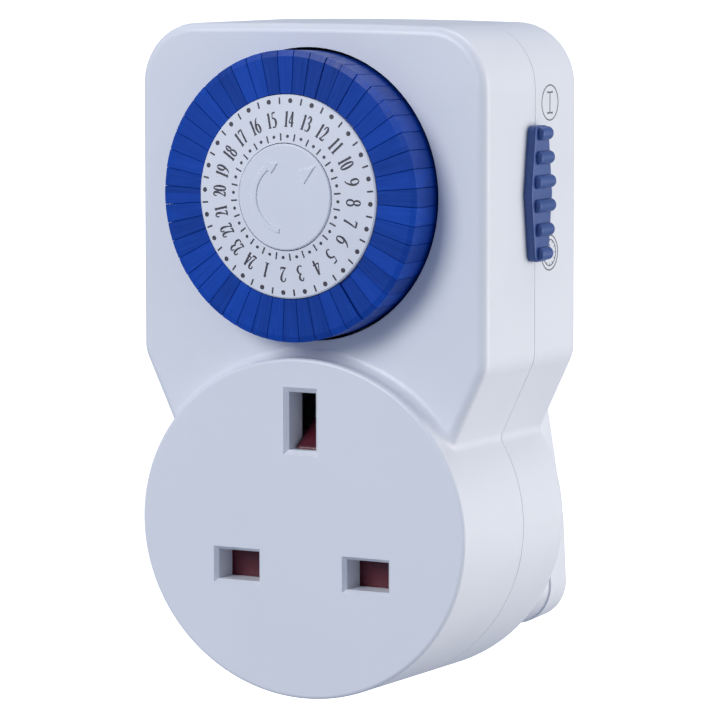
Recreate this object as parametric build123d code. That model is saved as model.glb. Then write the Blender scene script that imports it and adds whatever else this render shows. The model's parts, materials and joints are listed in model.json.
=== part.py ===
from build123d import *
import math
import os

# ---------------------------------------------------------------------------
# Plug-in 24-hour mechanical segment timer with a UK three-pin plug and socket.
# Frame: X to the right, Y towards the wall, Z up, millimetres.
# Origin: on the plug's wall face, midway between the line and neutral pins.
# ---------------------------------------------------------------------------

# case depths along Y
Y_WALL = 0.0          # plug base, wall face
Y_REAR = -6.0         # rear shell, back
Y_PART = -20.6        # joint between the two shells
Y_PANEL = -36.1       # front panel
Y_SOCKET = -39.0      # socket face
WALL = 2.0
SEAM = 0.12           # open seam between the shells

# case outline in XZ
HALF_W = 29.5
TOP_EDGE = 80.7
TOP_MID = 81.15
CORNER_R = 9.3
KNEE_Z = 31.3
CHAMFER_DX = 5.5
CHAMFER_DZ = 11.4
ELL_A = 27.75
ELL_B = 25.5
ELL_Z = 6.28
PANEL_FILLET = 1.4
SOCKET_FILLET = 0.5
FLARE_FILLET = 1.3    # between the socket boss and the panel
REAR_FILLET = 2.6

# socket and plug, to the UK pattern
PIN_X = 11.11
EARTH_Z = 22.23
SLOT_E = (4.65, 8.65, 5.95, 10.2)      # inner w, h, outer w, h
SLOT_LN = (7.1, 4.5, 8.1, 5.5)
SLOT_DEPTH = 4.5
EARTH_PIN = (3.97, 7.92, 22.7)
LN_PIN = (6.35, 3.97, 17.7)
SLEEVE_LEN = 9.5

# dial
DIAL_Z = 55.9
HOLE_R = 21.75
SEG_R = 21.5
SEG_R_IN = 15.12
SEG_FRONT = -42.35
SEG_BEVEL = (0.9, 0.27)  # width and depth of the sloping outer band
SEG_BACK = -37.7
SEG_SKIRT_R = 20.98
SEG_SKIRT_BACK = -35.0
SEG_TAPER = 0.22
SEG_GAP_DEG = 0.15
SEG_TRAVEL = 2.5
STEM_R0 = 18.9
STEM_R1 = 20.3
STEM_HALF = 0.55
STEM_END = -27.5
LABEL_R = 15.0
LABEL_EDGE = -42.62    # front of the label at its rim
LABEL_FRONT = -43.18   # and at its hole: the face is a shallow cone
CAP_R = 7.85
CAP_FRONT = -43.45
EMBOSS = 0.2
PHASE14 = 87.4        # angle of the fourteenth hour mark
HUB_R = 3.0
CARRIER_R = 20.78
CARRIER_FRONT = -34.5
CARRIER_BACK = -30.5

# gear train
MOD = 0.5
Z_DIAL, Z_G1P, Z_G1W, Z_G2P, Z_G2W, Z_ROT = 42, 14, 36, 14, 32, 16
PLATE_F, PLATE_B = -23.6, -22.1
ANG_G1, ANG_G2, ANG_ROT = 150.0, -75.0, 25.0

# lever
LEV_X, LEV_Z = 11.0, 29.75
LEV_RANGE = 10.0

# override slider
SL_Y, SL_Z = -21.0, 56.1
SL_HALF_L = 10.05
SL_W_MID = 3.35
SL_W_END = 2.1
SL_DECK = 30.9
SL_TRAVEL = 4.0

# shutter
SH_TRAVEL = 5.7

os.makedirs("parts", exist_ok=True)


def save(shape, name):
    export_step(shape, "parts/%s.step" % name)


def pxz(y):
    return Plane(origin=(0, y, 0), x_dir=(1, 0, 0), z_dir=(0, -1, 0))


def ey(sk, y0, y1):
    """Extrude an XZ sketch so that it fills y0..y1."""
    return extrude(pxz(y1) * sk, amount=y1 - y0)


def bx(x0, x1, y0, y1, z0, z1):
    return Pos((x0 + x1) / 2, (y0 + y1) / 2, (z0 + z1) / 2) * Box(x1 - x0, y1 - y0, z1 - z0)


def cy(x, z, r, y0, y1):
    return ey(Pos(x, z) * Circle(r), y0, y1)


def tube(x, z, r0, r1, y0, y1):
    return ey(Pos(x, z) * (Circle(r1) - Circle(r0)), y0, y1)


def one(shape):
    """The largest solid of a boolean result."""
    s = shape.solids()
    if len(s) > 1:
        print("warning, solids:", [round(q.volume, 2) for q in s])
    return max(s, key=lambda q: q.volume)


def rounded(shape, edges, r, what):
    for k in (1.0, 0.8, 0.6, 0.4):
        try:
            out = fillet(edges, r * k)
            if out.is_valid:
                if k < 1:
                    print("fillet", what, "at", r * k)
                return out
        except Exception:
            pass
    print("fillet failed:", what)
    return shape


# ------------------------------------------------------------- case outline
def upper_sketch(i):
    k = CHAMFER_DX / CHAMFER_DZ
    kz = KNEE_Z + 0.21 * i
    low = 14.6
    xl = (HALF_W - i) - k * (kz - low)
    w = HALF_W - i
    te, tm = TOP_EDGE - i, TOP_MID - i
    wire = Curve() + [
        Line((-xl, low), (xl, low)), Line((xl, low), (w, kz)), Line((w, kz), (w, te)),
        ThreePointArc((w, te), (0, tm), (-w, te)), Line((-w, te), (-w, kz)), Line((-w, kz), (-xl, low))]
    face = make_face(wire)
    top = [v for v in face.vertices() if v.Y > te - 0.01]
    face = fillet(top, CORNER_R - i)
    knee = [v for v in face.vertices() if abs(v.Y - kz) < 0.01 and abs(abs(v.X) - w) < 0.01]
    face = fillet(knee, max(5.0 - i, 1.0))
    return face


def ellipse_sketch(i):
    return Pos(0, ELL_Z) * Ellipse(ELL_A - i, ELL_B - i)


def outline(i):
    face = upper_sketch(i) + ellipse_sketch(i)
    vs = [v for v in face.vertices() if 15 < v.Y < 24 and abs(v.X) > 15]
    try:
        face = fillet(vs, 1.6 + i)
    except Exception:
        print("outline fillet failed", i, [(round(v.X, 2), round(v.Y, 2)) for v in vs])
    return face


def base_sketch(i=0.0):
    w = 24.9 - i
    lo = -10.7 + i
    pts = [(-w, lo), (w, lo), (24.1 - i, 5), (19.5 - i, 33 - i), (-19.5 + i, 33 - i), (-24.1 + i, 5)]
    face = make_face(Polyline(*pts, close=True))
    low = [v for v in face.vertices() if v.Y < lo + 0.01]
    face = fillet(low, 6.0 - i)
    top = [v for v in face.vertices() if v.Y > 33 - i - 0.01]
    return fillet(top, 8.0 - i)


def slot_cutter(cx, cz, dims):
    w, h, wo, ho = dims
    deep = ey(Pos(cx, cz) * Rectangle(w, h), Y_SOCKET - 0.5, Y_SOCKET + SLOT_DEPTH + 0.5)
    mouth = loft([pxz(Y_SOCKET - 0.02) * Pos(cx, cz) * Rectangle(wo, ho),
                  pxz(Y_SOCKET + 0.7) * Pos(cx, cz) * Rectangle(w, h)])
    return deep + mouth


SLOTS = [(0, EARTH_Z + 0.07, SLOT_E), (-PIN_X, 0, SLOT_LN), (PIN_X, 0, SLOT_LN)]
SCREWS_UP = [(-22.0, 73.5), (22.0, 73.5)]
SCREWS_LOW = [(-17.6, 13.5), (17.6, 13.5)]


# --------------------------------------------------------------- front shell
def front_shell():
    yb = Y_PART - SEAM
    body = ey(outline(0.0), Y_PANEL, yb)
    edges = body.faces().sort_by(Axis.Y)[0].edges()
    body = rounded(body, edges, PANEL_FILLET, "front panel edge")
    boss = ey(ellipse_sketch(0.0), Y_SOCKET, yb)
    edges = boss.faces().sort_by(Axis.Y)[0].edges()
    boss = rounded(boss, edges, SOCKET_FILLET, "socket face edge")
    shell = body + boss
    crease = [e for e in shell.edges() if abs(e.center().Y - Y_PANEL) < 0.02 and abs(e.bounding_box().size.Y) < 0.02
              and e.bounding_box().max.Z < ELL_Z + ELL_B + 0.5 and e.center().Z > 18]
    shell = rounded(shell, crease, FLARE_FILLET, "boss flare")
    shell = shell - ey(outline(WALL), Y_PANEL + WALL, yb + 1)
    shell = shell - ey(ellipse_sketch(WALL), Y_SOCKET + WALL, Y_PANEL + WALL + 1)
    # rebate for the rear shell's lip
    shell = shell - ey(outline(0.95), yb - 1.75, yb + 1)
    # dial well
    shell = shell + tube(0, DIAL_Z, HOLE_R, HOLE_R + 1.2, Y_PANEL + 0.5, CARRIER_BACK + 0.5)
    shell = shell - cy(0, DIAL_Z, HOLE_R, Y_PANEL - 1, Y_PANEL + 6)
    # guides behind the three slots
    for x, z, d in SLOTS:
        shell = shell + ey(Pos(x, z) * Rectangle(d[0] + 2.4, d[1] + 2.4), Y_SOCKET + 1.5, Y_SOCKET + SLOT_DEPTH)
    for x, z, d in SLOTS:
        shell = shell - slot_cutter(x, z, d)
    shell = shell - bx(-2.12, 2.12, -36.9, -33.0, 10.8, 18.6)
    # screw posts
    for x, z in SCREWS_UP:
        shell = shell + cy(x, z, 2.9, Y_PANEL + 1, yb)
    for x, z in SCREWS_LOW:
        shell = shell + cy(x, z, 2.9, Y_SOCKET + 1, yb)
    for x, z in SCREWS_UP + SCREWS_LOW:
        shell = shell - cy(x, z, 1.5, -31.0, yb + 1)
    # seat under the shutter spring
    shell = shell + bx(-2.6, 2.6, -36.2, -30.8, -17.6, -14.6)
    # slot for the override slider's neck
    shell = shell - bx(26, 31, -22.45, yb + 1, 52.9, 63.3)
    return one(shell)


# ---------------------------------------------------------------- rear shell
def rear_shell():
    body = ey(outline(0.0), Y_PART, Y_REAR)
    edges = body.faces().sort_by(Axis.Y)[-1].edges()
    body = rounded(body, edges, REAR_FILLET, "rear edge")
    base = extrude(pxz(Y_WALL) * base_sketch(), amount=6.2, taper=-3.0)
    edges = [e for e in base.faces().sort_by(Axis.Y)[-1].edges()]
    base = rounded(base, edges, 0.8, "wall face edge")
    flank = extrude(pxz(-5.6) * base_sketch(-0.28), amount=14.2, taper=18.0)
    shell = body + base + flank
    # lip
    shell = shell + ey(outline(1.05), Y_PART - 1.6, Y_PART + 1)
    shell = shell - ey(outline(WALL), Y_PART - 3, Y_REAR - WALL)
    shell = shell - ey(base_sketch(WALL + 0.4), Y_REAR - WALL - 1, Y_WALL - WALL)
    # screw posts with recesses from behind
    for x, z in SCREWS_UP:
        shell = shell + cy(x, z, 4.3, Y_PART, Y_REAR - 1)
    for x, z in SCREWS_LOW:
        shell = shell + (cy(x, z, 3.9, Y_PART, Y_WALL - 1))
    for x, z in SCREWS_UP:
        shell = shell - cy(x, z, 2.9, Y_REAR - 4, Y_REAR + 1) - cy(x, z, 1.6, Y_PART - 2, Y_REAR)
    for x, z in SCREWS_LOW:
        shell = shell - cy(x, z, 2.8, Y_WALL - 8, Y_WALL + 1) - cy(x, z, 1.6, Y_PART - 2, Y_WALL)
    # plug pin holes
    shell = shell - ey(Pos(0, EARTH_Z) * Rectangle(EARTH_PIN[0] + 0.1, EARTH_PIN[1] + 0.1), -3, 1)
    for s in (-1, 1):
        shell = shell - ey(Pos(s * PIN_X, 0) * Rectangle(LN_PIN[0] + 0.1, LN_PIN[1] + 0.1), -3, 1)
    # ring that seats the motor
    shell = shell + tube(*ROT_C, 13.6, 15.6, -9.4, -7.0)
    # slot for the override slider's neck
    shell = shell - bx(26, 31, Y_PART - 3, -19.55, 52.9, 63.3)
    return one(shell)


# --------------------------------------------------------------------- gears
def gear_points(z, phase_deg, thin=0.06, add=0.85, ded=1.2):
    rp = MOD * z / 2.0
    ap = math.radians(20)
    rb = rp * math.cos(ap)
    ra, rf = rp + add * MOD, rp - ded * MOD
    inv = lambda a: math.tan(a) - a

    def half(r):
        a = math.acos(min(1.0, rb / r)) if r > rb else 0.0
        return math.pi / (2 * z) - thin / rp + inv(ap) - inv(a)

    r0 = max(rb, rf)
    radii = [r0 + (ra - r0) * t for t in (0.0, 0.5, 1.0)]
    prof = [(r, half(r)) for r in radii]
    if rf < rb:
        prof = [(rf, half(rb))] + prof
    pts = []
    for k in range(z):
        c = math.radians(phase_deg) + 2 * math.pi * k / z
        for r, h in prof:
            pts.append((r * math.cos(c - h), r * math.sin(c - h)))
        for r, h in reversed(prof):
            pts.append((r * math.cos(c + h), r * math.sin(c + h)))
    return pts


def gear(x, zc, z, phase_deg, y0, y1):
    face = make_face(Polyline(*gear_points(z, phase_deg), close=True))
    return ey(Pos(x, zc) * face, y0, y1)


def mesh_phase(za, pa, zb, alpha):
    """Phase in degrees of gear b so that it meshes with gear a, b lying at angle alpha from a."""
    ua = ((alpha - pa) / (360.0 / za)) % 1.0
    return alpha + 180.0 - (360.0 / zb) * (0.5 - ua)


def polar(c, r, a):
    return (c[0] + r * math.cos(math.radians(a)), c[1] + r * math.sin(math.radians(a)))


DIAL_C = (0.0, DIAL_Z)
G1_C = polar(DIAL_C, MOD * (Z_DIAL + Z_G1P) / 2, ANG_G1)
G2_C = polar(G1_C, MOD * (Z_G1W + Z_G2P) / 2, ANG_G2)
ROT_C = polar(G2_C, MOD * (Z_G2W + Z_ROT) / 2, ANG_ROT)
PH_DIAL = 0.0
PH_G1P = mesh_phase(Z_DIAL, PH_DIAL, Z_G1P, ANG_G1)
PH_G1W = 0.0
PH_G2P = mesh_phase(Z_G1W, PH_G1W, Z_G2P, ANG_G2)
PH_G2W = 0.0
PH_ROT = mesh_phase(Z_G2W, PH_G2W, Z_ROT, ANG_ROT)


def transfer_gear():
    g = gear(*G1_C, Z_G1P, PH_G1P, -30.35, -28.8)
    g = g + cy(*G1_C, 2.2, -28.8, -24.0)
    g = g + cy(*G1_C, 1.5, -24.5, -21.6)
    g = g + gear(*G1_C, Z_G1W, PH_G1W, -21.7, -20.5)
    return one(g)


def middle_gear():
    g = gear(*G2_C, Z_G2P, PH_G2P, -21.75, -20.2)
    g = g + gear(*G2_C, Z_G2W, PH_G2W, -20.2, -18.95)
    g = g - cy(*G2_C, 0.8, -23, -18)
    return one(g)


def motor_rotor():
    g = gear(*ROT_C, Z_ROT, PH_ROT, -20.2, -18.95)
    g = g + cy(*ROT_C, 1.0, -19.5, -9.0)
    g = g + cy(*ROT_C, 6.5, -16.6, -11.2)
    return one(g)


# ---------------------------------------------------------------------- dial
def dial_wheel():
    prof = [
        (HUB_R + 0.06, -41.5), (14.95, -41.5), (14.95, CARRIER_FRONT), (CARRIER_R, CARRIER_FRONT),
        (CARRIER_R, CARRIER_BACK), (9.0, CARRIER_BACK), (9.0, -30.0), (5.0, -30.0), (5.0, -23.9), (HUB_R + 0.06, -23.9)]
    full = make_face(Plane.XY * Polyline(*prof, close=True))
    w = revolve(full, Axis.Y, 360)
    groove = make_face(Plane.XY * Polyline((9.3, -42.0), (13.7, -42.0), (13.7, -32.2), (9.3, -32.2), close=True))
    w = w - revolve(groove, Axis.Y, 360)
    w = Pos(0, 0, DIAL_Z) * w
    w = w + gear(0, DIAL_Z, Z_DIAL, PH_DIAL, CARRIER_BACK, -28.7) - cy(0, DIAL_Z, HUB_R + 0.06, -50, -20)
    cut = bx(STEM_R0 - 0.12, STEM_R1 + 0.12, -36, -29, -STEM_HALF - 0.12, STEM_HALF + 0.12)
    cuts = [Pos(0, 0, DIAL_Z) * Rot(0, -(PHASE14 + 3.75 + 7.5 * k), 0) * cut for k in range(48)]
    w = w - cuts
    return one(w)


def dial_label():
    prof = [(CAP_R + 0.12, LABEL_FRONT), (LABEL_R - 0.2, LABEL_EDGE), (LABEL_R, LABEL_EDGE + 0.17), (LABEL_R, -41.5),
            (CAP_R + 0.12, -41.5)]
    return Pos(0, 0, DIAL_Z) * revolve(make_face(Plane.XY * Polyline(*prof, close=True)), Axis.Y, 360)


def centre_cap():
    c = cy(0, DIAL_Z, CAP_R, CAP_FRONT, -42.2)
    e = [q for q in c.faces().sort_by(Axis.Y)[0].edges()]
    c = rounded(c, e, 0.3, "cap edge")
    yf = CAP_FRONT - EMBOSS
    # curved arrow, a ring sector with a head
    ring = Circle(5.5) - Circle(4.6)
    a0, a1 = 124.0, 262.0
    wedge = [(0, 0)] + [polar((0, 0), 9, a0 + (a1 - a0) * t / 6) for t in range(7)]
    arc = ring & make_face(Polyline(*wedge, close=True))
    h0, h1, tip = polar((0, 0), 3.9, 123), polar((0, 0), 6.4, 128), polar((0, 0), 5.1, 100)
    head = make_face(Polyline(h0, h1, tip, close=True))
    tri = make_face(Polyline(polar((0, 0), 7.3, 41), polar((0, 0), 4.7, 58), polar((0, 0), 3.9, 28.7), close=True))
    for mark in (arc, head, tri):
        mark = Pos(0, DIAL_Z) * mark
        try:
            raised = extrude(pxz(CAP_FRONT + 0.05) * mark, amount=CAP_FRONT + 0.05 - yf, taper=32.0)
            ok = raised.is_valid and raised.volume > 0.02
        except Exception:
            ok = False
        c = c + (raised if ok else ey(mark, yf, CAP_FRONT + 0.3))
        if not ok:
            print("plain emboss")
    return one(c)


SEG_SINK = {29: 0.38, 30: 0.30, 31: 0.12, 42: 0.14, 43: 0.10, 5: 0.08, 17: 0.06, 36: 0.09, 45: 0.12, 11: 0.05}


def segment(k):
    """One half-hour segment: a wedge head with a skirt, and a stem that runs through the carrier."""
    bw, bd = SEG_BEVEL
    prof = [(SEG_R_IN, SEG_FRONT), (SEG_R - bw, SEG_FRONT), (SEG_R, SEG_FRONT + bd), (SEG_R - SEG_TAPER, SEG_SKIRT_BACK),
            (SEG_SKIRT_R, SEG_SKIRT_BACK), (SEG_SKIRT_R, SEG_BACK), (SEG_R_IN, SEG_BACK)]
    turn = 7.5 - SEG_GAP_DEG
    head = revolve(make_face(Plane.XY * Polyline(*prof, close=True)), Axis.Y, turn)
    head = Rot(0, -turn / 2, 0) * head
    if head.center().Z > 0.2 or head.center().Z < -0.2:
        head = Rot(0, turn, 0) * head
    y_lim = SEG_FRONT + bd + 0.01
    edges = [e for e in head.edges() if abs(e.center().Z) > 0.5 and e.center().X > 16
             and (e.center().Y < y_lim or (e.center().X > SEG_R - 0.2 and e.center().Y < SEG_BACK + 4))
             and abs(e.center().Z) > abs(e.center().X) * math.tan(math.radians(turn / 2)) - 0.05]
    head = chamfer(edges, 0.07)
    stem = bx(STEM_R0, STEM_R1, SEG_BACK - 0.5, STEM_END, -STEM_HALF, STEM_HALF)
    s = head + stem
    ang = PHASE14 + 3.75 + 7.5 * k
    return Pos(0, SEG_SINK.get(k, 0.0), DIAL_Z) * Rot(0, -ang, 0) * one(s)


# --------------------------------------------------------------- small metal
def coil_spring(x, y, z0, z1, r, wire, turns):
    h = z1 - z0 - wire
    path = Pos(x, y, z0 + wire / 2) * Helix(pitch=h / turns, height=h, radius=r)
    sec = Plane(origin=path @ 0, z_dir=path % 0) * Circle(wire / 2)
    return one(sweep(sec, path=path, is_frenet=True))


def screw(x, z, seat, length):
    s = cy(x, z, 2.7, seat, seat + 1.9) + cy(x, z, 1.42, seat - length, seat + 0.5)
    s = s - bx(x - 1.6, x + 1.6, seat + 0.8, seat + 3, z - 0.35, z + 0.35)
    s = s - bx(x - 0.35, x + 0.35, seat + 0.8, seat + 3, z - 1.6, z + 1.6)
    return one(s)


def plug_pin(x, z, w, h, length, sleeve):
    p = ey(Pos(x, z) * Rectangle(w, h), -6.0, length)
    e = p.faces().sort_by(Axis.Y)[-1].edges()
    p = chamfer(e, 0.9)
    p = p + ey(Pos(x, z) * Rectangle(w + 2.2, h + 2.2), -4.2, -2.05)
    if sleeve:
        outer = ey(Pos(x, z) * Rectangle(w + 2, h + 2), -2.0, SLEEVE_LEN)
        inner = ey(Pos(x, z) * Rectangle(w - 1.0, h - 1.0), -2.0, SLEEVE_LEN)
        p = p - (outer - inner)
    return one(p)


def pin_sleeve(x, z):
    w, h, _ = LN_PIN
    return ey(Pos(x, z) * (Rectangle(w, h) - Rectangle(w - 0.96, h - 0.96)), -1.98, SLEEVE_LEN - 0.02)


def line_clip(x):
    """Two blades above and below the slot's centre, joined behind."""
    c = bx(x - 3.2, x + 3.2, -31.6, -19.4, 2.15, 2.75) + bx(x - 3.2, x + 3.2, -31.6, -19.4, -2.75, -2.15)
    c = c + bx(x - 3.2, x + 3.2, -20.0, -19.4, -2.75, 2.75)
    return c


def line_socket_contact():
    c = line_clip(PIN_X) + bx(PIN_X - 1.5, PIN_X + 1.5, -20.0, -19.4, 2.0, 31.2)
    return one(c)


def neutral_socket_contact():
    c = line_clip(-PIN_X) + bx(-PIN_X - 1.5, -PIN_X + 1.5, -20.0, -6.05, -0.5, 0.5)
    return one(c)


def earth_contact():
    c = bx(-2.75, -2.15, -27.6, -19.0, EARTH_Z - 3.6, EARTH_Z + 3.6)
    c = c + bx(2.15, 2.75, -27.6, -19.0, EARTH_Z - 3.6, EARTH_Z + 3.6)
    c = c + bx(-2.75, 2.75, -19.6, -19.0, EARTH_Z - 3.6, EARTH_Z + 3.6)
    c = c + bx(-0.5, 0.5, -19.6, -6.05, EARTH_Z - 1.8, EARTH_Z + 1.8)
    return one(c)


def fixed_contact():
    c = bx(15.2, 18.8, -27.0, -11.5, 33.4, 33.9)
    c = c + bx(10.5, 18.8, -12.0, -11.5, 29.6, 33.9)
    c = c + bx(10.5, 13.5, -12.0, -11.5, -1.5, 33.9)
    c = c + bx(9.6, 12.6, -12.0, -6.05, -0.6, 0.6)
    return one(c)


def cam_lever():
    pts = [(-2.3, 28.6), (LEV_X - 2, 28.0), (18.6, 28.6), (18.6, 31.0), (2.5, 31.0), (0.2, 33.0), (-0.35, 34.8),
           (-0.5, 37.0), (-1.3, 37.0), (-1.45, 34.8), (-2.3, 33.0)]
    body = ey(make_face(Polyline(*pts, close=True)), -27.2, -24.8)
    body = body + cy(LEV_X, LEV_Z, 2.7, -27.2, -24.3)
    body = body - cy(LEV_X, LEV_Z, 1.06, -30, -20)
    return one(body)


def mechanism_plate():
    plate = bx(-18.5, 18.5, PLATE_F, PLATE_B, 34.6, 77.0)
    edges = plate.edges().filter_by(Axis.Y)
    plate = fillet(edges, 4.5)
    plate = plate + bx(4.0, 14.4, PLATE_F, PLATE_B, 21.6, 38.0)
    plate = plate + bx(4.0, 7.2, -27.6, PLATE_F + 0.5, 21.6, 22.7)
    plate = plate + cy(0, DIAL_Z, HUB_R, -42.2, PLATE_B)
    for x, z in [(-16.5, 38.0), (-15, 74.8), (15, 74.8), (16.5, 38.0)]:
        plate = plate + cy(x, z, 1.8, PLATE_B - 0.5, Y_REAR - WALL)
    plate = plate - cy(*G1_C, 1.56, -30, -20) - cy(*G2_C, 0.76, -30, -20)
    plate = plate - cy(LEV_X, LEV_Z, 1.01, -30, -20)
    # windows that save plastic
    plate = plate - cy(11.5, 67.5, 5.0, -30, -20) - cy(11.0, 44.5, 4.5, -30, -20)
    return one(plate)


def override_slider():
    a, b, c = SL_W_MID, SL_W_END, SL_HALF_L
    pts = [(-b, -c), (b, -c), (a, 0), (b, c), (-b, c), (-a, 0)]
    face = make_face(Polyline(*pts, close=True))
    face = fillet([v for v in face.vertices() if abs(v.Y) > c - 0.01], 1.1)
    pl = Plane(origin=(HALF_W + 0.12, SL_Y, SL_Z), x_dir=(0, 1, 0), z_dir=(1, 0, 0))
    deck = extrude(pl * face, amount=SL_DECK - HALF_W - 0.12)
    e = deck.faces().sort_by(Axis.X)[-1].edges()
    deck = rounded(deck, e, 0.3, "slider deck")
    for k in range(6):
        z = (k - 2.5) * 3.55
        half = a + (b - a) * min(1.0, abs(z) / c)
        y0, y1 = SL_Y - half + 0.85, SL_Y + half - 0.12
        rib = Pos(SL_DECK - 0.1, (y0 + y1) / 2, SL_Z + z) * Rot(90, 0, 0) * Cylinder(1.0, y1 - y0)
        ends = [q for q in rib.edges() if q.geom_type == GeomType.CIRCLE]
        rib = fillet(ends, 0.35)
        keep = bx(SL_DECK - 0.6, 33, SL_Y - 6, SL_Y + 6, SL_Z - 12, SL_Z + 12)
        deck = deck + (rib & keep)
    s = deck + bx(27.2, HALF_W + 0.3, -22.2, -19.8, 53.1, 59.1)
    s = s + bx(25.6, 27.35, -24.4, -18.0, 50.1, 62.1)
    s = s + bx(22.6, 25.7, -24.4, -22.4, 30.0, 52.1)
    s = s + bx(19.9, 23.0, -24.4, -22.4, 22.5, 33.0)
    s = s + bx(16.5, 20.2, -27.0, -22.4, 22.5, 24.3)
    return one(s)


def safety_shutter():
    s = bx(-15.6, 15.6, -34.2, -32.6, -3.4, 3.3)
    s = s + bx(-1.9, 1.9, -34.2, -32.6, 3.0, 17.4)
    pl = Plane(origin=(-1.9, 0, 0), x_dir=(0, 1, 0), z_dir=(1, 0, 0))
    ramp = make_face(Polyline((-34.2, 16.4), (-36.75, 17.4), (-36.75, 18.3), (-31.5, 22.0), (-28.4, 23.9), (-28.4, 21.4),
                              (-32.6, 16.4), close=True))
    nose = [v for v in ramp.vertices() if v.X < -36.7 and v.Y > 18.0]
    ramp = fillet(nose, 0.6)
    s = s + extrude(pl * ramp, amount=3.8)
    s = s + bx(-1.0, 1.0, -34.0, -32.8, -5.0, -3.3)
    return one(s)


def lead(points, r=0.6):
    path = FilletPolyline(*points, radius=1.6)
    sec = Plane(origin=path @ 0, z_dir=path % 0) * Circle(r)
    return one(sweep(sec, path=path))


# --------------------------------------------------------------------- write
save(front_shell(), "front_shell")
save(rear_shell(), "rear_shell")
save(mechanism_plate(), "mechanism_plate")
save(dial_wheel(), "dial_wheel")
save(dial_label(), "dial_label")
save(centre_cap(), "centre_cap")
for n in range(24):
    hour = (14 + n - 1) % 24 + 1
    save(Compound(children=[segment(2 * n), segment(2 * n + 1)]), "segment_pins_%02d" % hour)
save(override_slider(), "override_slider")
save(cam_lever(), "cam_lever")
save(bx(13.8, 18.4, -26.9, -25.1, 31.0, 31.3), "moving_contact_leaf")
save(extrude(Plane(origin=(17.0, -26.0, 31.3)) * Circle(0.9), amount=0.4), "moving_contact_rivet")
save(extrude(Plane(origin=(16.8, -26.0, 32.98)) * Circle(0.9), amount=0.42), "fixed_contact_rivet")
save(fixed_contact(), "fixed_contact_strip")
save(cy(LEV_X, LEV_Z, 1.0, -27.9, -20.0), "lever_pin")
save(coil_spring(5.6, -25.9, 22.7, 28.2, 1.15, 0.3, 5), "lever_spring")
save(transfer_gear(), "transfer_gear")
save(middle_gear(), "middle_gear")
save(cy(*G2_C, 0.75, PLATE_F, -18.4), "middle_gear_axle")
save(motor_rotor(), "motor_rotor")
can = cy(*ROT_C, 17.0, -17.6, -9.4) - cy(*ROT_C, 16.2, -18.0, -10.2) - cy(*ROT_C, 1.06, -12, -8)
save(one(can), "motor_can")
save(one(cy(*ROT_C, 17.0, -18.4, -17.6) - cy(*ROT_C, 1.06, -20, -17)), "motor_front_plate")
save(tube(*ROT_C, 8.5, 15.6, -17.0, -10.8), "motor_coil")
save(plug_pin(0, EARTH_Z, *EARTH_PIN, False), "earth_pin")
save(plug_pin(PIN_X, 0, *LN_PIN, True), "line_pin")
save(plug_pin(-PIN_X, 0, *LN_PIN, True), "neutral_pin")
save(Compound(children=[one(pin_sleeve(PIN_X, 0)), one(pin_sleeve(-PIN_X, 0))]), "pin_sleeves")
save(earth_contact(), "earth_contact")
save(line_socket_contact(), "line_socket_contact")
save(neutral_socket_contact(), "neutral_socket_contact")
save(safety_shutter(), "safety_shutter")
save(coil_spring(0, -33.4, -14.6, -3.5, 1.5, 0.35, 8), "shutter_spring")
save(Compound(children=[screw(x, z, Y_REAR - 4, 16.5) for x, z in SCREWS_UP]
              + [screw(x, z, Y_WALL - 8, 18.5) for x, z in SCREWS_LOW]), "case_screws")
save(lead([(-6.0, -14.0, 38.6), (-6.0, -14.0, 30.0), (-11.1, -14.0, 20.0), (-11.1, -14.0, 0.6)]), "motor_lead_neutral")
save(lead([(6.0, -14.0, 38.6), (6.0, -14.0, 28.0), (12.0, -14.0, 22.0), (12.0, -14.0, 14.0), (12.0, -12.45, 10.0)]),
     "motor_lead_line")
print("gear centres", [tuple(round(v, 4) for v in c) for c in (G1_C, G2_C, ROT_C)])
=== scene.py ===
import bpy
import bmesh
import json
import math
from mathutils import Matrix, Vector


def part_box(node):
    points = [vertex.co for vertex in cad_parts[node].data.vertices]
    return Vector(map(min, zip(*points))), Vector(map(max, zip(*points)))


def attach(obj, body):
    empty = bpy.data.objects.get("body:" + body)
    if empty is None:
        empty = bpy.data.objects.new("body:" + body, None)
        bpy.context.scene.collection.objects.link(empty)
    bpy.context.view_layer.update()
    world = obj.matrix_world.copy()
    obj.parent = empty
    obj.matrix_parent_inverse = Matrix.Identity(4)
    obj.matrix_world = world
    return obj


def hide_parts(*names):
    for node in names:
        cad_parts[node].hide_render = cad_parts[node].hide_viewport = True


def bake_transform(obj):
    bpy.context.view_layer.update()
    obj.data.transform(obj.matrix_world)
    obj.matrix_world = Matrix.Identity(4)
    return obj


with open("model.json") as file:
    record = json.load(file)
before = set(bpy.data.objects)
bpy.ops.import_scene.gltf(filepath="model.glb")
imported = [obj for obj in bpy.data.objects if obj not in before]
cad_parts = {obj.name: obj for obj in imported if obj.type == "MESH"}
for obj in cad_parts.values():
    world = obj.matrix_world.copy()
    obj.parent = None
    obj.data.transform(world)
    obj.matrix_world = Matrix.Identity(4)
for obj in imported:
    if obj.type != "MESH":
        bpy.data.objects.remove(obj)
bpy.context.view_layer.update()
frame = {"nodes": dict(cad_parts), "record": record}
nodes = frame["nodes"]
MM = 0.001
scene = bpy.context.scene

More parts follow.
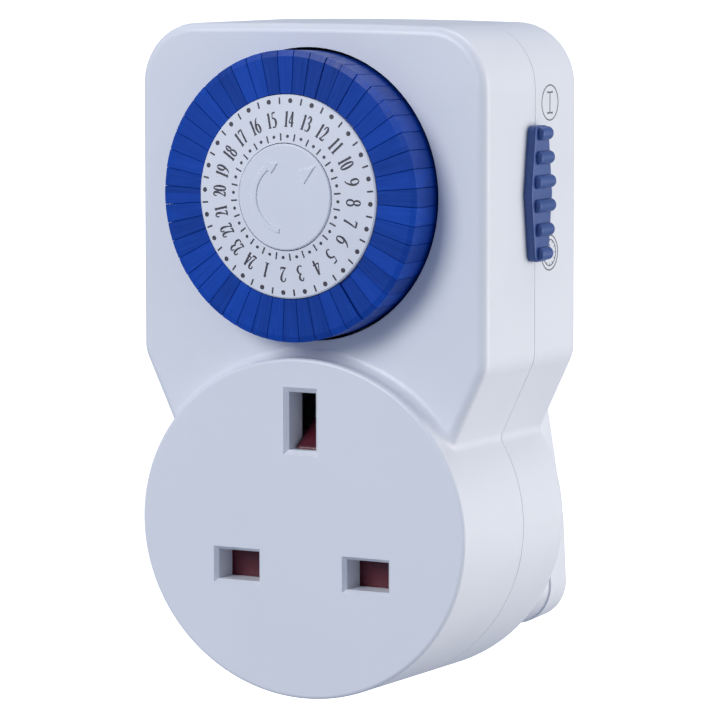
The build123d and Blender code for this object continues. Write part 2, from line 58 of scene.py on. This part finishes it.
# ------------------------------------------------------------------- camera
cam_data = bpy.data.cameras.new("view_camera")
cam = bpy.data.objects.new("view_camera", cam_data)
scene.collection.objects.link(cam)
right = Vector((0.866982, 0.498337, -0.001211))
up = Vector((-0.046202, 0.082799, 0.995495))
back = Vector((0.496192, -0.863021, 0.094810))
rot = Matrix((right, up, back)).transposed()
cam.matrix_world = Matrix.Translation(Vector((0.321841, -0.581015, 0.097582))) @ rot.to_4x4()
cam_data.sensor_fit = "HORIZONTAL"
cam_data.sensor_width = 36.0
cam_data.lens = 4287.185 * 36.0 / 720.0
cam_data.shift_x = 0.0002
cam_data.shift_y = -0.0565
cam_data.clip_start = 0.05
cam_data.clip_end = 30.0
scene.camera = cam
scene.view_settings.view_transform = "Standard"
scene.view_settings.look = "None"


# ---------------------------------------------------------------- materials
def srgb(r, g, b):
    def f(c):
        c /= 255.0
        return c / 12.92 if c <= 0.04045 else ((c + 0.055) / 1.055) ** 2.4
    return (f(r), f(g), f(b))


def new_mat(name):
    m = bpy.data.materials.new(name)
    m.use_nodes = True
    nt = m.node_tree
    nt.nodes.clear()
    out = nt.nodes.new("ShaderNodeOutputMaterial")
    bsdf = nt.nodes.new("ShaderNodeBsdfPrincipled")
    nt.links.new(bsdf.outputs["BSDF"], out.inputs["Surface"])
    coord = nt.nodes.new("ShaderNodeTexCoord")
    return m, nt, bsdf, coord


def noise(nt, coord, scale, detail=3.0, rough=0.55, stretch=None, kind="Object"):
    n = nt.nodes.new("ShaderNodeTexNoise")
    n.inputs["Scale"].default_value = scale
    n.inputs["Detail"].default_value = detail
    n.inputs["Roughness"].default_value = rough
    if stretch:
        mp = nt.nodes.new("ShaderNodeMapping")
        mp.inputs["Scale"].default_value = stretch
        nt.links.new(coord.outputs[kind], mp.inputs["Vector"])
        nt.links.new(mp.outputs["Vector"], n.inputs["Vector"])
    else:
        nt.links.new(coord.outputs[kind], n.inputs["Vector"])
    return n


def ramp(nt, src, stops):
    r = nt.nodes.new("ShaderNodeValToRGB")
    el = r.color_ramp.elements
    while len(el) < len(stops):
        el.new(0.5)
    for e, (p, c) in zip(el, stops):
        e.position = p
        e.color = (*c, 1.0) if len(c) == 3 else c
    nt.links.new(src, r.inputs["Fac"])
    return r


def map_range(nt, src, a, b, c, d):
    m = nt.nodes.new("ShaderNodeMapRange")
    m.inputs["From Min"].default_value = a
    m.inputs["From Max"].default_value = b
    m.inputs["To Min"].default_value = c
    m.inputs["To Max"].default_value = d
    nt.links.new(src, m.inputs["Value"])
    return m


def scaled(c, k):
    return tuple(min(1.0, v * k) for v in c)


def plastic(name, color, rough=0.4, vary=0.05, large=60.0, fine=2600.0, bump=0.10, depth=0.00004,
            rough_vary=0.06, streak=None, specular=0.5, sss=0.0, coat=0.0):
    m, nt, bsdf, coord = new_mat(name)
    n1 = noise(nt, coord, large, 4.0, 0.6, streak)
    r = ramp(nt, n1.outputs["Fac"], [(0.3, scaled(color, 1 - vary)), (0.7, scaled(color, 1 + vary))])
    nt.links.new(r.outputs["Color"], bsdf.inputs["Base Color"])
    n2 = noise(nt, coord, large * 3.1, 3.0)
    mr = map_range(nt, n2.outputs["Fac"], 0.3, 0.7, rough - rough_vary, rough + rough_vary)
    nt.links.new(mr.outputs["Result"], bsdf.inputs["Roughness"])
    n3 = noise(nt, coord, fine, 2.0, 0.5)
    bp = nt.nodes.new("ShaderNodeBump")
    bp.inputs["Strength"].default_value = bump
    bp.inputs["Distance"].default_value = depth
    nt.links.new(n3.outputs["Fac"], bp.inputs["Height"])
    nt.links.new(bp.outputs["Normal"], bsdf.inputs["Normal"])
    bsdf.inputs["Specular IOR Level"].default_value = specular
    if sss:
        bsdf.inputs["Subsurface Weight"].default_value = sss
        bsdf.inputs["Subsurface Radius"].default_value = (0.0016, 0.0014, 0.0012)
        bsdf.inputs["Subsurface Scale"].default_value = 1.0
    if coat:
        bsdf.inputs["Coat Weight"].default_value = coat
        bsdf.inputs["Coat Roughness"].default_value = 0.12
    return m


def metal(name, color, rough=0.28, streak=(1.0, 1.0, 1.0), vary=0.10, fine=1800.0):
    m, nt, bsdf, coord = new_mat(name)
    n1 = noise(nt, coord, 220.0, 4.0, 0.6, streak)
    r = ramp(nt, n1.outputs["Fac"], [(0.3, scaled(color, 1 - vary)), (0.7, scaled(color, 1 + vary * 0.5))])
    nt.links.new(r.outputs["Color"], bsdf.inputs["Base Color"])
    n2 = noise(nt, coord, 500.0, 3.0, 0.6, streak)
    mr = map_range(nt, n2.outputs["Fac"], 0.3, 0.7, rough - 0.08, rough + 0.10)
    nt.links.new(mr.outputs["Result"], bsdf.inputs["Roughness"])
    n3 = noise(nt, coord, fine, 2.0, 0.5, streak)
    bp = nt.nodes.new("ShaderNodeBump")
    bp.inputs["Strength"].default_value = 0.15
    bp.inputs["Distance"].default_value = 0.00002
    nt.links.new(n3.outputs["Fac"], bp.inputs["Height"])
    nt.links.new(bp.outputs["Normal"], bsdf.inputs["Normal"])
    bsdf.inputs["Metallic"].default_value = 1.0
    return m


def ink(name, color):
    m, nt, bsdf, coord = new_mat(name)
    n1 = noise(nt, coord, 5200.0, 3.0, 0.6)
    r = ramp(nt, n1.outputs["Fac"], [(0.3, scaled(color, 0.8)), (0.7, scaled(color, 1.35))])
    nt.links.new(r.outputs["Color"], bsdf.inputs["Base Color"])
    mr = map_range(nt, n1.outputs["Fac"], 0.3, 0.7, 0.45, 0.62)
    nt.links.new(mr.outputs["Result"], bsdf.inputs["Roughness"])
    return m


def winding(name):
    """Enamelled wire turns round the Y axis of the motor under clear tape."""
    m, nt, bsdf, coord = new_mat(name)
    w = nt.nodes.new("ShaderNodeTexWave")
    w.wave_type = "BANDS"
    w.bands_direction = "Y"
    w.inputs["Scale"].default_value = 900.0
    w.inputs["Distortion"].default_value = 0.6
    w.inputs["Detail"].default_value = 2.0
    nt.links.new(coord.outputs["Object"], w.inputs["Vector"])
    r = ramp(nt, w.outputs["Fac"], [(0.1, (0.16, 0.045, 0.012)), (0.9, (0.62, 0.24, 0.08))])
    nt.links.new(r.outputs["Color"], bsdf.inputs["Base Color"])
    bp = nt.nodes.new("ShaderNodeBump")
    bp.inputs["Strength"].default_value = 0.6
    bp.inputs["Distance"].default_value = 0.00008
    nt.links.new(w.outputs["Fac"], bp.inputs["Height"])
    nt.links.new(bp.outputs["Normal"], bsdf.inputs["Normal"])
    bsdf.inputs["Roughness"].default_value = 0.3
    bsdf.inputs["Metallic"].default_value = 0.6
    return m


def math_node(nt, op, a, b=None):
    n = nt.nodes.new("ShaderNodeMath")
    n.operation = op
    for i, v in enumerate((a, b)):
        if v is None:
            continue
        if isinstance(v, (int, float)):
            n.inputs[i].default_value = v
        else:
            nt.links.new(v, n.inputs[i])
    return n.outputs["Value"]


def segment_plastic(name, color):
    """Blue moulding of the dial segments: each one painted a little lighter or darker as painted shade of its slight
    random tilt, with moulding streaks running out from the middle.
    """
    m, nt, bsdf, coord = new_mat(name)
    sep = nt.nodes.new("ShaderNodeSeparateXYZ")
    nt.links.new(coord.outputs["Object"], sep.inputs["Vector"])
    x, y, z = sep.outputs["X"], sep.outputs["Y"], sep.outputs["Z"]
    zc = math_node(nt, "SUBTRACT", z, 0.0559)
    ang = math_node(nt, "ARCTAN2", zc, x)
    rr = math_node(nt, "SQRT", math_node(nt, "ADD", math_node(nt, "MULTIPLY", x, x), math_node(nt, "MULTIPLY", zc, zc)))
    step = math.radians(7.5)
    idx = math_node(nt, "FLOOR", math_node(nt, "DIVIDE", math_node(nt, "SUBTRACT", ang, math.radians(87.4)), step))
    # painted shade: one random value per segment makes the whole segment lighter or darker, standing in for how its
    # slight tilt catches the light
    segment_tilt_shade_noise = nt.nodes.new("ShaderNodeTexWhiteNoise")
    segment_tilt_shade_noise.noise_dimensions = "1D"
    nt.links.new(idx, segment_tilt_shade_noise.inputs["W"])
    comb = nt.nodes.new("ShaderNodeCombineXYZ")
    nt.links.new(math_node(nt, "MULTIPLY", ang, 90.0), comb.inputs["X"])
    nt.links.new(math_node(nt, "MULTIPLY", rr, 170.0), comb.inputs["Y"])
    nt.links.new(math_node(nt, "MULTIPLY", y, 300.0), comb.inputs["Z"])
    st = nt.nodes.new("ShaderNodeTexNoise")
    st.inputs["Scale"].default_value = 1.0
    st.inputs["Detail"].default_value = 4.0
    st.inputs["Roughness"].default_value = 0.6
    nt.links.new(comb.outputs["Vector"], st.inputs["Vector"])
    n1 = noise(nt, coord, 160.0, 4.0)
    mix = math_node(nt, "ADD", math_node(nt, "MULTIPLY", st.outputs["Fac"], 0.45),
                    math_node(nt, "ADD", math_node(nt, "MULTIPLY", segment_tilt_shade_noise.outputs["Value"], 0.25),
                              math_node(nt, "MULTIPLY", n1.outputs["Fac"], 0.30)))
    r = ramp(nt, mix, [(0.25, scaled(color, 0.66)), (0.75, scaled(color, 1.38))])
    nt.links.new(r.outputs["Color"], bsdf.inputs["Base Color"])
    mr = map_range(nt, st.outputs["Fac"], 0.3, 0.7, 0.30, 0.46)
    nt.links.new(mr.outputs["Result"], bsdf.inputs["Roughness"])
    n3 = noise(nt, coord, 2600.0, 2.0)
    h = math_node(nt, "ADD", math_node(nt, "MULTIPLY", n3.outputs["Fac"], 0.5), math_node(nt, "MULTIPLY", st.outputs["Fac"], 0.9))
    bp = nt.nodes.new("ShaderNodeBump")
    bp.inputs["Strength"].default_value = 0.35
    bp.inputs["Distance"].default_value = 0.00004
    nt.links.new(h, bp.inputs["Height"])
    nt.links.new(bp.outputs["Normal"], bsdf.inputs["Normal"])
    bsdf.inputs["Specular IOR Level"].default_value = 0.22
    return m


WHITE = srgb(232, 235, 241)
M = {
    "shell_white": plastic("case_plastic", WHITE, 0.36, 0.018, 28.0, 3400.0, 0.16, 0.00003, 0.05, sss=0.04),
    "dial_print": plastic("dial_face", srgb(231, 234, 242), 0.5, 0.02, 200.0, 4200.0, 0.20, 0.00003, 0.05),
    "cap_plastic": plastic("cap_plastic", srgb(230, 233, 242), 0.38, 0.015, 90.0, 3400.0, 0.12, 0.00003, 0.05),
    "segment_blue": segment_plastic("segment_plastic", (0.0030, 0.054, 0.37)),
    "slider_blue": plastic("slider_plastic", (0.040, 0.095, 0.31), 0.36, 0.10, 140.0, 2800.0, 0.22, 0.00004, 0.08),
    "carrier_black": plastic("carrier_plastic", (0.012, 0.012, 0.018), 0.5, 0.2, 120.0, 2400.0, 0.2),
    "frame_plastic": plastic("frame_nylon", (0.76, 0.73, 0.66), 0.46, 0.05, 80.0, 2600.0, 0.2, sss=0.05),
    "gear_plastic": plastic("gear_acetal", (0.84, 0.82, 0.76), 0.3, 0.04, 120.0, 2600.0, 0.15, sss=0.05),
    "shutter_maroon": plastic("shutter_plastic", (0.10, 0.012, 0.022), 0.34, 0.15, 120.0, 2600.0, 0.25),
    "lever_plastic": plastic("lever_plastic", (0.30, 0.045, 0.035), 0.4, 0.1, 120.0, 2600.0, 0.2),
    "brass": metal("brass_strip", (0.83, 0.60, 0.27), 0.26, (1.0, 6.0, 1.0)),
    "silver_contact": metal("silver_contact", (0.86, 0.86, 0.84), 0.2),
    "steel": metal("plated_steel", (0.60, 0.60, 0.61), 0.3, (1.0, 4.0, 1.0)),
    "copper_coil": winding("copper_winding"),
    "magnet": plastic("rotor_magnet", (0.05, 0.05, 0.055), 0.42, 0.25, 400.0, 2600.0, 0.4),
    "sleeve_black": plastic("sleeve_plastic", (0.016, 0.016, 0.018), 0.42, 0.2, 120.0, 2600.0, 0.2),
    "wire_blue": plastic("wire_blue", (0.03, 0.10, 0.45), 0.4, 0.08, 200.0, 2600.0, 0.2),
    "wire_brown": plastic("wire_brown", (0.17, 0.065, 0.03), 0.4, 0.08, 200.0, 2600.0, 0.2),
}
INK = ink("print_ink", (0.060, 0.056, 0.072))
INK_SIDE = ink("side_ink", (0.11, 0.11, 0.13))

slot_of = {s["node"]: s["material_slot"] for s in frame["record"]["subparts"]}
for name, ob in nodes.items():
    mat = M[slot_of[name]]
    if len(ob.data.materials) == 0:
        ob.data.materials.append(mat)
    for i in range(len(ob.data.materials)):
        ob.data.materials[i] = mat


# ------------------------------------------------- springs
# each coil is shown by an unchanged copy of its CAD mesh, and the CAD part is hidden
bpy.context.view_layer.update()
for node, mover in (("shutter_spring", "safety_shutter"), ("lever_spring", "switch_lever")):
    src = nodes[node]
    coil_mesh = src.data.copy()
    coil_mesh.transform(src.matrix_world)
    coil = bpy.data.objects.new(node + "_coil", coil_mesh)
    scene.collection.objects.link(coil)
    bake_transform(coil)
    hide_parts(node)


# ------------------------------------------------------------ flat markings
def catmull(pts, steps=6, closed=False):
    out = []
    n = len(pts)
    rng = range(n) if closed else range(n - 1)
    for i in rng:
        if closed:
            p0, p1, p2, p3 = (pts[(i + k - 1) % n] for k in range(4))
        else:
            p1, p2 = pts[i], pts[i + 1]
            p0 = pts[i - 1] if i > 0 else p1
            p3 = pts[i + 2] if i + 2 < n else p2
        for s in range(steps):
            t = s / steps
            out.append(tuple(0.5 * ((2 * b) + (-a + c) * t + (2 * a - 5 * b + 4 * c - d) * t * t
                                    + (-a + 3 * b - 3 * c + d) * t ** 3) for a, b, c, d in zip(p0, p1, p2, p3)))
    if not closed:
        out.append(pts[-1])
    return out


class Sheet:
    """Collects thin closed strips of ink that lie on a flat face."""

    def __init__(self, to_world):
        self.bm = bmesh.new()
        self.to_world = to_world          # (u, v, height) in mm -> world, metres

    def prism(self, outline):
        lo = [self.bm.verts.new(self.to_world(u, v, 0.0)) for u, v in outline]
        hi = [self.bm.verts.new(self.to_world(u, v, 0.02)) for u, v in outline]
        n = len(outline)
        self.bm.faces.new(hi)
        self.bm.faces.new(list(reversed(lo)))
        for i in range(n):
            j = (i + 1) % n
            self.bm.faces.new((lo[i], lo[j], hi[j], hi[i]))

    def strip(self, pts, closed=False):
        """pts are (u, v, width)."""
        n = len(pts)
        sides = []
        for i in range(n):
            if closed:
                a, b = pts[(i - 1) % n], pts[(i + 1) % n]
            else:
                a, b = pts[max(i - 1, 0)], pts[min(i + 1, n - 1)]
            dx, dy = b[0] - a[0], b[1] - a[1]
            ln = math.hypot(dx, dy) or 1.0
            nx, ny = -dy / ln, dx / ln
            w = pts[i][2] / 2
            sides.append(((pts[i][0] + nx * w, pts[i][1] + ny * w), (pts[i][0] - nx * w, pts[i][1] - ny * w)))
        V = []
        for (l, r) in sides:
            V.append([self.bm.verts.new(self.to_world(l[0], l[1], 0.0)), self.bm.verts.new(self.to_world(r[0], r[1], 0.0)),
                      self.bm.verts.new(self.to_world(l[0], l[1], 0.02)), self.bm.verts.new(self.to_world(r[0], r[1], 0.02))])
        m = n if closed else n - 1
        for i in range(m):
            a, b = V[i], V[(i + 1) % n]
            self.bm.faces.new((a[2], a[3], b[3], b[2]))
            self.bm.faces.new((a[1], a[0], b[0], b[1]))
            self.bm.faces.new((a[0], a[2], b[2], b[0]))
            self.bm.faces.new((a[3], a[1], b[1], b[3]))
        if not closed:
            self.bm.faces.new((V[0][0], V[0][1], V[0][3], V[0][2]))
            self.bm.faces.new((V[-1][1], V[-1][0], V[-1][2], V[-1][3]))

    def disc(self, cx, cy, r, n=28):
        self.prism([(cx + r * math.cos(2 * math.pi * k / n), cy + r * math.sin(2 * math.pi * k / n)) for k in range(n)])

    def ring(self, cx, cy, r, w, n=72, a0=0.0, a1=360.0):
        full = abs(a1 - a0) >= 360
        k = n if full else n + 1
        pts = [(cx + r * math.cos(math.radians(a0 + (a1 - a0) * i / n)), cy + r * math.sin(math.radians(a0 + (a1 - a0) * i / n)), w)
               for i in range(k)]
        self.strip(pts, closed=full)

    def finish(self, name, mat, body):
        bmesh.ops.recalc_face_normals(self.bm, faces=self.bm.faces[:])
        me = bpy.data.meshes.new(name)
        self.bm.to_mesh(me)
        self.bm.free()
        ob = bpy.data.objects.new(name, me)
        scene.collection.objects.link(ob)
        me.materials.append(mat)
        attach(ob, body)
        return ob


TK, TN = 0.33, 0.15          # thick and thin strokes of the numerals, mm


def glyph(d):
    """Strokes of a condensed serif numeral in a unit box: list of (points (x, y, width in mm), closed, smooth)."""
    K, N = TK, TN
    if d == "0":
        pts = []
        for i in range(28):
            a = 2 * math.pi * i / 28
            pts.append((0.5 + 0.36 * math.cos(a), 0.5 + 0.485 * math.sin(a), N + (K - N) * abs(math.cos(a)) ** 1.3))
        return [(pts, True, False)]
    if d == "1":
        return [([(0.52, 1.0, K), (0.52, 0.02, K)], False, False),
                ([(0.26, 0.86, N * 0.6), (0.40, 0.92, N), (0.52, 0.985, N * 1.2)], False, False),
                ([(0.22, 0.02, N), (0.82, 0.02, N)], False, False)]
    if d == "2":
        return [([(0.14, 0.72, N), (0.20, 0.90, N * 1.3), (0.46, 0.99, N * 1.2), (0.74, 0.88, K), (0.76, 0.66, K),
                  (0.58, 0.40, N * 1.4), (0.34, 0.18, N), (0.12, 0.05, N)], False, True),
                ([(0.12, 0.07, N * 1.4), (0.50, 0.07, K), (0.84, 0.07, K * 0.8), (0.92, 0.20, N)], False, False)]
    if d == "3":
        return [([(0.16, 0.80, N), (0.28, 0.95, N * 1.2), (0.52, 0.98, N * 1.4), (0.74, 0.84, K), (0.68, 0.64, K * 0.8),
                  (0.40, 0.53, N)], False, True),
                ([(0.40, 0.53, N), (0.72, 0.46, K * 0.8), (0.84, 0.26, K), (0.68, 0.07, K * 0.8), (0.40, 0.00, N),
                  (0.12, 0.07, K * 0.7)], False, True)]
    if d == "4":
        return [([(0.66, 1.0, K), (0.66, 0.0, K)], False, False),
                ([(0.64, 0.97, N), (0.07, 0.30, N)], False, False),
                ([(0.05, 0.28, N * 1.3), (0.95, 0.28, N * 1.3)], False, False)]
    if d == "5":
        return [([(0.30, 0.95, K * 0.75), (0.86, 0.97, K * 0.6)], False, False),
                ([(0.30, 0.96, N), (0.20, 0.60, N)], False, False),
                ([(0.20, 0.60, N), (0.48, 0.60, K * 0.7), (0.78, 0.46, K), (0.82, 0.24, K), (0.60, 0.04, N * 1.5),
                  (0.34, 0.00, N), (0.12, 0.07, K * 0.7)], False, True)]
    if d in "69":
        st = [([(0.86, 1.0, N * 0.8), (0.52, 0.86, N * 1.5), (0.24, 0.58, K), (0.15, 0.32, K), (0.28, 0.08, K * 0.7),
                (0.52, 0.0, N), (0.78, 0.10, K * 0.8), (0.86, 0.30, K), (0.76, 0.50, K * 0.8), (0.54, 0.58, N),
                (0.30, 0.48, N)], False, True)]
        if d == "9":
            st = [([(1 - x, 1 - y, w) for x, y, w in p], c, s) for p, c, s in st]
        return st
    if d == "7":
        return [([(0.10, 0.80, N), (0.14, 0.93, N)], False, False),
                ([(0.12, 0.94, K * 0.8), (0.90, 0.94, K * 0.8)], False, False),
                ([(0.88, 0.95, N * 1.2), (0.62, 0.50, K * 0.8), (0.42, 0.0, K)], False, False)]
    out = []
    for cy_, rx, ry in ((0.755, 0.29, 0.235), (0.265, 0.37, 0.265)):
        pts = []
        for i in range(24):
            a = 2 * math.pi * i / 24
            pts.append((0.5 + rx * math.cos(a), cy_ + ry * math.sin(a), N + (K - N) * 0.8 * abs(math.cos(a))))
        out.append((pts, True, False))
    return out


DIAL_Z = 55.9
PHASE14 = 87.4
LABEL_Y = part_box("dial_label")[0].y / MM          # the label's foremost ring, at its hole
LABEL_R0, LABEL_SLOPE = 7.97, 0.56 / 6.83         # the label's face falls back outwards as a shallow cone


def on_dial(u, v, h):
    fall = max(0.0, math.hypot(u, v) - LABEL_R0) * LABEL_SLOPE
    return Vector((u * MM, (LABEL_Y + fall - h) * MM, (DIAL_Z + v) * MM))


marks = Sheet(on_dial)
NUM_R, NUM_H = 11.42, 2.25
for hour in range(1, 25):
    a = math.radians(PHASE14 + (hour - 14) * 15.0)
    ux, uz = math.cos(a), math.sin(a)              # outward
    rx, rz = math.sin(a), -math.cos(a)             # to the numeral's right
    text = str(hour)
    w = 0.86 if len(text) == 2 else 1.12
    total = w * len(text)
    for i, ch in enumerate(text):
        x0 = -total / 2 + i * w
        for pts, closed, smooth in glyph(ch):
            q = [(x0 + x * w, (y - 0.5) * NUM_H, t) for x, y, t in pts]
            if smooth:
                q = catmull(q, 5)
            marks.strip([(ux * (NUM_R + v) + rx * u, uz * (NUM_R + v) + rz * u, t) for u, v, t in q], closed)
    marks.disc(14.12 * ux, 14.12 * uz, 0.36)
    marks.disc(8.92 * ux, 8.92 * uz, 0.245, 20)
    b = a + math.radians(7.5)
    bx_, bz_ = math.cos(b), math.sin(b)
    marks.strip([(13.62 * bx_, 13.62 * bz_, 0.26), (14.6 * bx_, 14.6 * bz_, 0.26)])
    marks.strip([(8.3 * bx_, 8.3 * bz_, 0.24), (9.36 * bx_, 9.36 * bz_, 0.24)])
marks.finish("dial_markings", INK, "dial")

# symbols printed beside the override slider
SIDE_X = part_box("rear_shell")[1].x / MM


def on_side(y0, z0):
    def f(u, v, h):
        return Vector(((SIDE_X + h) * MM, (y0 + u) * MM, (z0 + v) * MM))
    return f


sym = Sheet(on_side(-15.95, 69.3))
sym.ring(0, 0, 2.6, 0.19)
sym.strip([(0, -1.6, 0.2), (0, 1.6, 0.2)])
for s in (-1, 1):
    sym.strip([(-0.85, s * 1.55, 0.32), (-0.25, s * 1.52, 0.2), (0.25, s * 1.52, 0.2), (0.85, s * 1.55, 0.32)])
sym.finish("always_on_symbol", INK_SIDE, "case")

clk = Sheet(on_side(-15.95, 47.0))
clk.ring(0, 0, 2.6, 0.19)
clk.ring(0, 0, 1.95, 0.16, 60)
for k in range(12):
    a = math.radians(30 * k)
    clk.strip([(1.55 * math.cos(a), 1.55 * math.sin(a), 0.12), (1.9 * math.cos(a), 1.9 * math.sin(a), 0.12)])
clk.strip([(0, -0.1, 0.16), (0, 1.3, 0.16)])
clk.strip([(-0.1, 0, 0.18), (0.95, 0, 0.18)])
clk.finish("clock_symbol", INK_SIDE, "case")

# -------------------------------------------------------------------- stage
m, nt, bsdf, coord = new_mat("studio_floor")
n1 = noise(nt, coord, 3.0, 3.0)
r = ramp(nt, n1.outputs["Fac"], [(0.3, (0.93, 0.93, 0.93)), (0.7, (0.96, 0.96, 0.96))])
nt.links.new(r.outputs["Color"], bsdf.inputs["Base Color"])
bsdf.inputs["Roughness"].default_value = 0.9
bsdf.inputs["Emission Color"].default_value = (1.0, 1.0, 1.0, 1.0)
bsdf.inputs["Emission Strength"].default_value = 1.0
fm = bpy.data.meshes.new("studio_floor")
bm = bmesh.new()
Z0, R = -0.16, 6.0
prof = [(-R, Z0), (2.0, Z0)]
for k in range(1, 13):
    a = math.radians(90 * k / 12)
    prof.append((2.0 + 2.0 * math.sin(a), Z0 + 2.0 - 2.0 * math.cos(a)))
prof.append((4.0, 6.0))
rows = [[bm.verts.new((x, y, z)) for x in (-R, R)] for y, z in prof]
for a, b in zip(rows, rows[1:]):
    bm.faces.new((a[0], a[1], b[1], b[0]))
bm.to_mesh(fm)
bm.free()
for p in fm.polygons:
    p.use_smooth = True
floor = bpy.data.objects.new("studio_floor", fm)
scene.collection.objects.link(floor)
fm.materials.append(m)
floor.visible_diffuse = False
floor.visible_glossy = False
floor.visible_shadow = False

world = bpy.data.worlds.new("studio")
scene.world = world
world.use_nodes = True
bg = world.node_tree.nodes["Background"]
bg.inputs["Color"].default_value = (0.66, 0.76, 1.0, 1.0)
bg.inputs["Strength"].default_value = 0.38


def area(name, loc, target, size, power, color=(1, 1, 1), size_y=None):
    d = bpy.data.lights.new(name, "AREA")
    d.energy = power
    d.color = color
    d.size = size
    if size_y:
        d.shape = "RECTANGLE"
        d.size_y = size_y
    o = bpy.data.objects.new(name, d)
    scene.collection.objects.link(o)
    o.location = loc
    o.rotation_euler = (Vector(target) - Vector(loc)).to_track_quat("-Z", "Y").to_euler()
    return o


C = (0.0, -0.02, 0.035)
area("key_left_top", (-0.41, -1.15, 0.64), C, 0.60, 10.0, (0.985, 0.99, 1.0))
area("side_right", (1.30, 0.62, -0.02), C, 1.3, 18.0, (1.0, 0.95, 0.87))
area("top_back", (0.1, 0.5, 1.3), C, 0.8, 5.0, (1.0, 1.0, 1.0))
